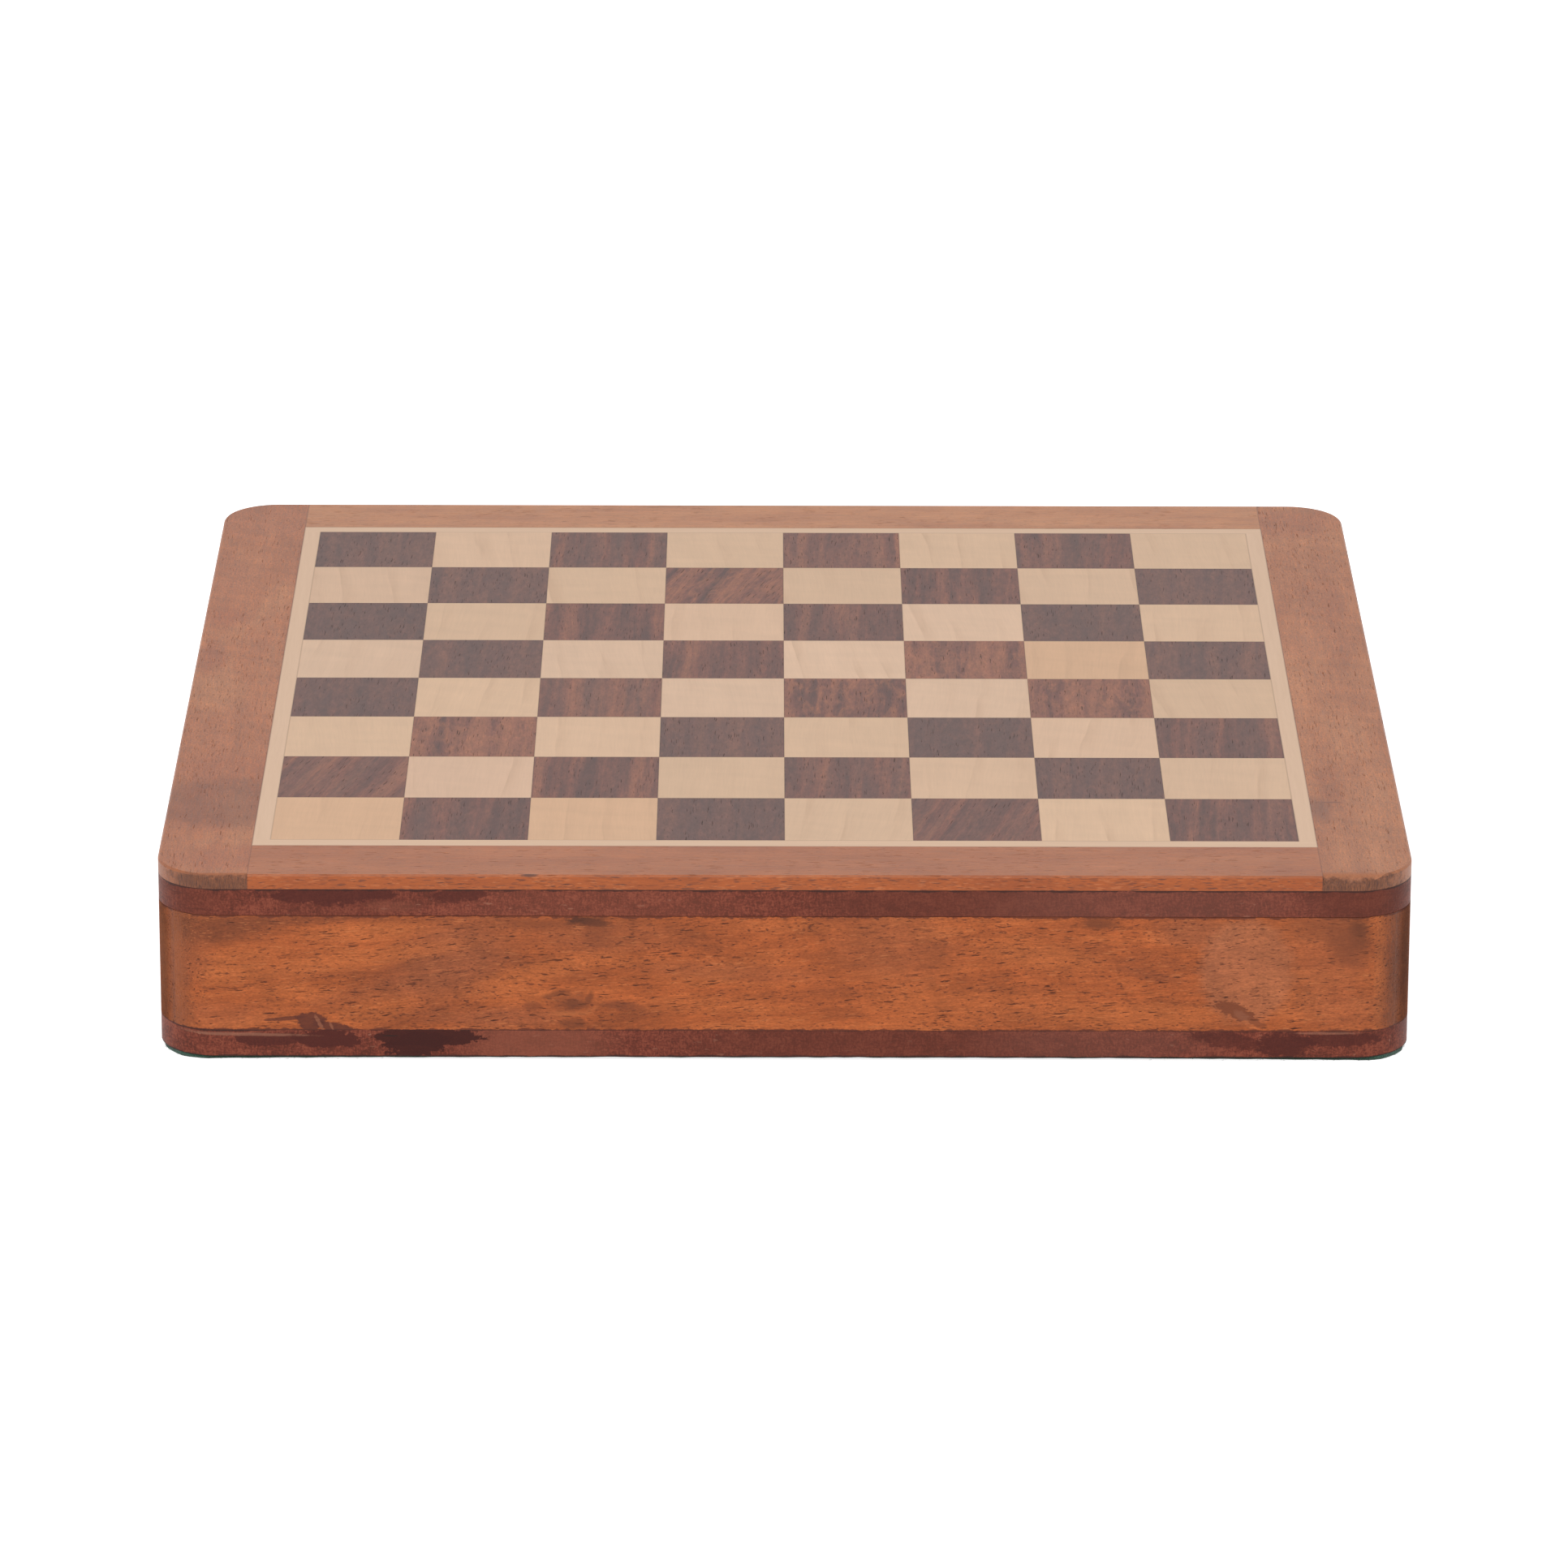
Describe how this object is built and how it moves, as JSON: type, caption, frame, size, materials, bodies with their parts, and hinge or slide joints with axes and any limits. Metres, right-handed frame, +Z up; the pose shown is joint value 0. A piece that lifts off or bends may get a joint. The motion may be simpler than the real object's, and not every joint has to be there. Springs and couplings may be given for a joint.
{
  "type": "chess box with hinged lid",
  "caption": "Shallow wooden box with rounded corners whose hinged lid is an inlaid chess board, with a padded tray of pockets for the chessmen inside.",
  "frame": {"origin": "centre of the flat underside, on the face of the base felt", "axes": "+X to the right seen from the front, +Y from the front edge towards the hinged back, +Z up"},
  "size_m": [0.254, 0.2567, 0.04],
  "materials": {
    "light_square_wood": "pale maple, satin lacquer",
    "dark_square_wood": "streaky purple-brown rosewood, satin lacquer",
    "strip_wood": "pale maple, satin lacquer",
    "rail_wood": "pinkish mahogany with fine pores, satin",
    "wall_wood": "orange-brown mahogany with dark pores, oiled",
    "stained_board": "plywood with a dark maroon stained edge, worn",
    "green_felt": "green felt",
    "tray_velvet": "green velvet flock",
    "hinge_brass": "brushed brass, slightly tarnished",
    "screw_brass": "turned brass",
    "magnet_nickel": "nickel plate"
  },
  "bodies": {
    "box": {"base_felt": "green_felt", "bottom_board": "stained_board", "wall_front": "wall_wood", "wall_back": "wall_wood", "wall_left": "wall_wood", "wall_right": "wall_wood", "tray_floor": "tray_velvet", "tray_side_bar_left": "tray_velvet", "tray_side_bar_right": "tray_velvet", "tray_bar_1": "tray_velvet", "tray_bar_2": "tray_velvet", "tray_bar_3": "tray_velvet", "tray_bar_4": "tray_velvet", "tray_bar_5": "tray_velvet", "tray_ribs_row_1": "tray_velvet", "tray_ribs_row_2": "tray_velvet", "tray_ribs_row_3": "tray_velvet", "tray_ribs_row_4": "tray_velvet", "box_hinge_leaf_left": "hinge_brass", "box_hinge_leaf_right": "hinge_brass", "hinge_pin_left": "hinge_brass", "hinge_pin_right": "hinge_brass", "box_hinge_screws": "screw_brass", "box_magnets": "magnet_nickel"},
    "lid": {"lid_base_board": "stained_board", "lid_lining": "green_felt", "lid_rail_front": "rail_wood", "lid_rail_back": "rail_wood", "lid_rail_left": "rail_wood", "lid_rail_right": "rail_wood", "border_strip_front": "strip_wood", "border_strip_back": "strip_wood", "border_strip_left": "strip_wood", "border_strip_right": "strip_wood", "rank_1_light": "light_square_wood", "rank_1_dark": "dark_square_wood", "rank_2_light": "light_square_wood", "rank_2_dark": "dark_square_wood", "rank_3_light": "light_square_wood", "rank_3_dark": "dark_square_wood", "rank_4_light": "light_square_wood", "rank_4_dark": "dark_square_wood", "rank_5_light": "light_square_wood", "rank_5_dark": "dark_square_wood", "rank_6_light": "light_square_wood", "rank_6_dark": "dark_square_wood", "rank_7_light": "light_square_wood", "rank_7_dark": "dark_square_wood", "rank_8_light": "light_square_wood", "rank_8_dark": "dark_square_wood", "lid_hinge_leaf_left": "hinge_brass", "lid_hinge_leaf_right": "hinge_brass", "lid_hinge_screws": "screw_brass", "lid_magnets": "magnet_nickel"}
  },
  "joints": [
    {"name": "lid_hinge", "type": "hinge", "parent": "box", "child": "lid", "pos_m": [0, 0.1285, 0.03125], "axis": [-1, 0, 0], "range_deg": [0, 185]}
  ]
}
